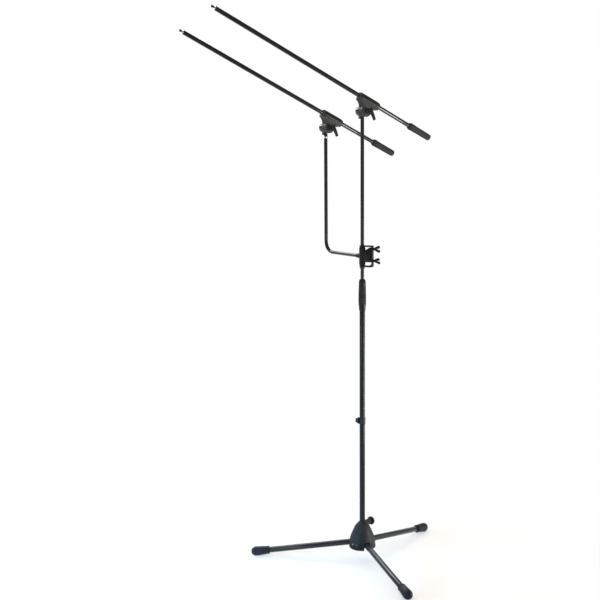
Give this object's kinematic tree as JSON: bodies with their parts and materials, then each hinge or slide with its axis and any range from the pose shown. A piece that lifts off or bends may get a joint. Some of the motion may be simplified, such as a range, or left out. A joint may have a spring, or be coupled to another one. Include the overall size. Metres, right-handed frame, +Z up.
{
  "type": "microphone stand",
  "caption": "Floor microphone stand with folding legs, a telescoping column and sliding boom arms in tilting clamp heads, the lower boom on a bent side arm.",
  "frame": {"origin": "centre of the column's flat lower end plug, on the column axis, at the level of the hub's underside", "axes": "+Z up along the column; +X under the raised front ends of the booms, +Y away from the side arm"},
  "size_m": [1.0205, 0.7054, 1.9591],
  "materials": {
    "cast_black": "rough textured black paint",
    "tube_black": "satin black paint",
    "bracket_black": "matt black paint",
    "moulded_black": "fine matt grain",
    "soft_black": "matt",
    "bright_nickel": "polished",
    "zinc_steel": "satin zinc"
  },
  "bodies": {
    "base": {"base_hub": "cast_black", "leg_pin_1": "zinc_steel", "leg_pin_2": "zinc_steel", "leg_pin_3": "zinc_steel"},
    "leg_1": {"leg_tube_1": "tube_black", "foot_boot_1": "soft_black"},
    "leg_2": {"leg_tube_2": "tube_black", "foot_boot_2": "soft_black"},
    "leg_3": {"leg_tube_3": "tube_black", "foot_boot_3": "soft_black"},
    "knob": {"base_knob": "moulded_black", "base_knob_screw": "zinc_steel"},
    "column": {"lower_tube": "tube_black", "column_plug": "moulded_black", "clutch_core": "moulded_black", "clutch_collet": "moulded_black"},
    "clip": {"cable_clip": "moulded_black"},
    "clutch": {"clutch_grip": "moulded_black"},
    "mast": {"upper_tube": "tube_black", "guide_bush": "moulded_black"},
    "yoke": {"arm_yoke": "bracket_black", "arm_liner": "moulded_black"},
    "jaw": {"arm_jaw": "moulded_black"},
    "wing_1": {"wing_screw_1": "bracket_black"},
    "wing_2": {"wing_screw_2": "bracket_black"},
    "arm": {"arm_sleeve": "moulded_black", "arm_tube": "tube_black", "arm_lock_ring": "bright_nickel"},
    "head_a": {"swivel_base_a": "bracket_black", "friction_washer_a": "soft_black", "pivot_bolt_a": "bracket_black"},
    "clamp_a": {"boom_clamp_inner_a": "moulded_black", "boom_clamp_outer_a": "moulded_black"},
    "boom_a": {"boom_tube_a": "tube_black", "mic_stud_a": "bright_nickel", "boom_grip_a": "soft_black"},
    "lever_a": {"clamp_lever_a": "moulded_black"},
    "head_b": {"swivel_base_b": "bracket_black", "friction_washer_b": "soft_black", "pivot_bolt_b": "bracket_black"},
    "clamp_b": {"boom_clamp_inner_b": "moulded_black", "boom_clamp_outer_b": "moulded_black"},
    "boom_b": {"boom_tube_b": "tube_black", "mic_stud_b": "bright_nickel", "boom_grip_b": "soft_black"},
    "lever_b": {"clamp_lever_b": "moulded_black"}
  },
  "joints": [
    {"name": "leg_fold_1", "type": "hinge", "parent": "base", "child": "leg_1", "pos_m": [0.02091, -0.02151, 0.0208], "axis": [0.7169, 0.6972, 0], "range_deg": [0, 81.5]},
    {"name": "leg_fold_2", "type": "hinge", "parent": "base", "child": "leg_2", "pos_m": [0.00817, 0.02887, 0.0208], "axis": [-0.9622, 0.2723, 0], "range_deg": [0, 81.5]},
    {"name": "leg_fold_3", "type": "hinge", "parent": "base", "child": "leg_3", "pos_m": [-0.02908, -0.00736, 0.0208], "axis": [0.2453, -0.9694, 0], "range_deg": [0, 81.5]},
    {"name": "knob_turn", "type": "hinge", "parent": "base", "child": "knob", "pos_m": [0, 0, 0.087], "axis": [-0.9694, -0.2453, 0], "range_deg": [0, 720]},
    {"name": "column_slide", "type": "slide", "parent": "base", "child": "column", "axis": [0, 0, 1], "range_m": [0, 0.05]},
    {"name": "clip_slide", "type": "slide", "parent": "column", "child": "clip", "axis": [0, 0, 1], "range_m": [-0.35, 0.38]},
    {"name": "clutch_turn", "type": "hinge", "parent": "column", "child": "clutch", "pos_m": [0, 0, 0.881], "axis": [0, 0, 1], "range_deg": [0, 120]},
    {"name": "mast_slide", "type": "slide", "parent": "column", "child": "mast", "axis": [0, 0, 1], "range_m": [-0.02, 0.1]},
    {"name": "head_swivel_a", "type": "hinge", "parent": "mast", "child": "head_a", "pos_m": [0, 0, 1.5855], "axis": [0, 0, 1], "range_deg": [-150, 35]},
    {"name": "boom_tilt_a", "type": "hinge", "parent": "head_a", "child": "clamp_a", "pos_m": [0, 0, 1.5855], "axis": [0, -1, 0], "range_deg": [-69, 61]},
    {"name": "boom_slide_a", "type": "slide", "parent": "clamp_a", "child": "boom_a", "axis": [0.9107, 0, 0.4131], "range_m": [-0.5, 0.145]},
    {"name": "lever_turn_a", "type": "hinge", "parent": "head_a", "child": "lever_a", "pos_m": [0, 0, 1.5855], "axis": [0, 1, 0], "range_deg": [0, 180]},
    {"name": "yoke_slide", "type": "slide", "parent": "mast", "child": "yoke", "axis": [0, 0, 1], "range_m": [-0.016, 0.42]},
    {"name": "arm_swing", "type": "hinge", "parent": "yoke", "child": "arm", "pos_m": [0, 0, 1.076], "axis": [0, 0, 1], "range_deg": [-30, 120]},
    {"name": "jaw_slide", "type": "slide", "parent": "yoke", "child": "jaw", "axis": [-0.5225, 0.8526, 0], "range_m": [0, 0.00125]},
    {"name": "wing_turn_1", "type": "hinge", "parent": "yoke", "child": "wing_1", "pos_m": [0, 0, 1.0605], "axis": [-0.5225, 0.8526, 0], "range_deg": [0, 360]},
    {"name": "wing_turn_2", "type": "hinge", "parent": "yoke", "child": "wing_2", "pos_m": [0, 0, 1.1025], "axis": [-0.5225, 0.8526, 0], "range_deg": [0, 360]},
    {"name": "head_swivel_b", "type": "hinge", "parent": "arm", "child": "head_b", "pos_m": [0, -0.214, 1.5285], "axis": [0, 0, 1], "range_deg": [-70, 20]},
    {"name": "boom_tilt_b", "type": "hinge", "parent": "head_b", "child": "clamp_b", "pos_m": [0, -0.214, 1.5285], "axis": [0, -1, 0], "range_deg": [-69, 61]},
    {"name": "boom_slide_b", "type": "slide", "parent": "clamp_b", "child": "boom_b", "axis": [0.9107, 0, 0.4131], "range_m": [-0.49, 0.155]},
    {"name": "lever_turn_b", "type": "hinge", "parent": "head_b", "child": "lever_b", "pos_m": [0, -0.214, 1.5285], "axis": [0, 1, 0], "range_deg": [0, 180]}
  ]
}
